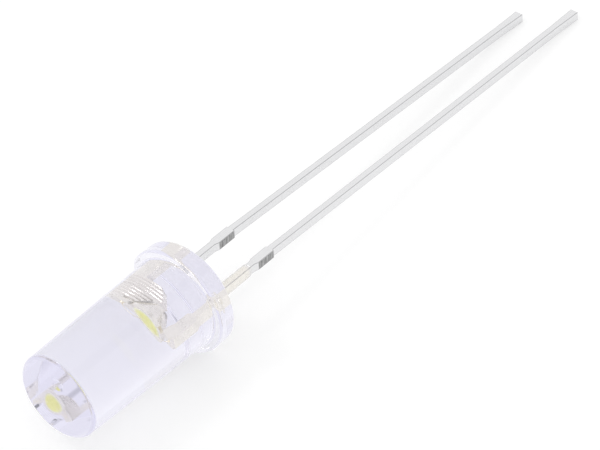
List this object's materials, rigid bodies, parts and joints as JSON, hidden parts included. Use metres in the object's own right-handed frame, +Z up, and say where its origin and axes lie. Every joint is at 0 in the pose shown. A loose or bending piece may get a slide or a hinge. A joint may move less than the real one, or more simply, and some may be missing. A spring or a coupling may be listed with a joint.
{
  "type": "through hole led",
  "caption": "Clear round light emitting diode with a flat front, a thin flange with a cathode flat and two straight stamped leads with tie bar stubs, loose and lying on its side.",
  "frame": {"origin": "centre of the flange's back face, where the body's axis meets the seating plane", "axes": "+X level towards the lead tips, 3.6 degrees from the body's axis because the part lies on its flange rim and both lead tips; +Y towards the cathode side; +Z up"},
  "size_m": [0.0394, 0.0055, 0.0059],
  "materials": {
    "clear_epoxy": "gloss",
    "silver_plate": "satin",
    "chip": "gloss",
    "glue": "satin",
    "phosphor": "matte",
    "gold_wire": "gloss"
  },
  "bodies": {
    "root": {"clear_body": "clear_epoxy", "cathode_lead": "silver_plate", "anode_lead": "silver_plate", "led_chip": "chip", "chip_glue": "glue", "phosphor_fill": "phosphor", "cathode_wire": "gold_wire", "anode_wire": "gold_wire"}
  },
  "joints": []
}
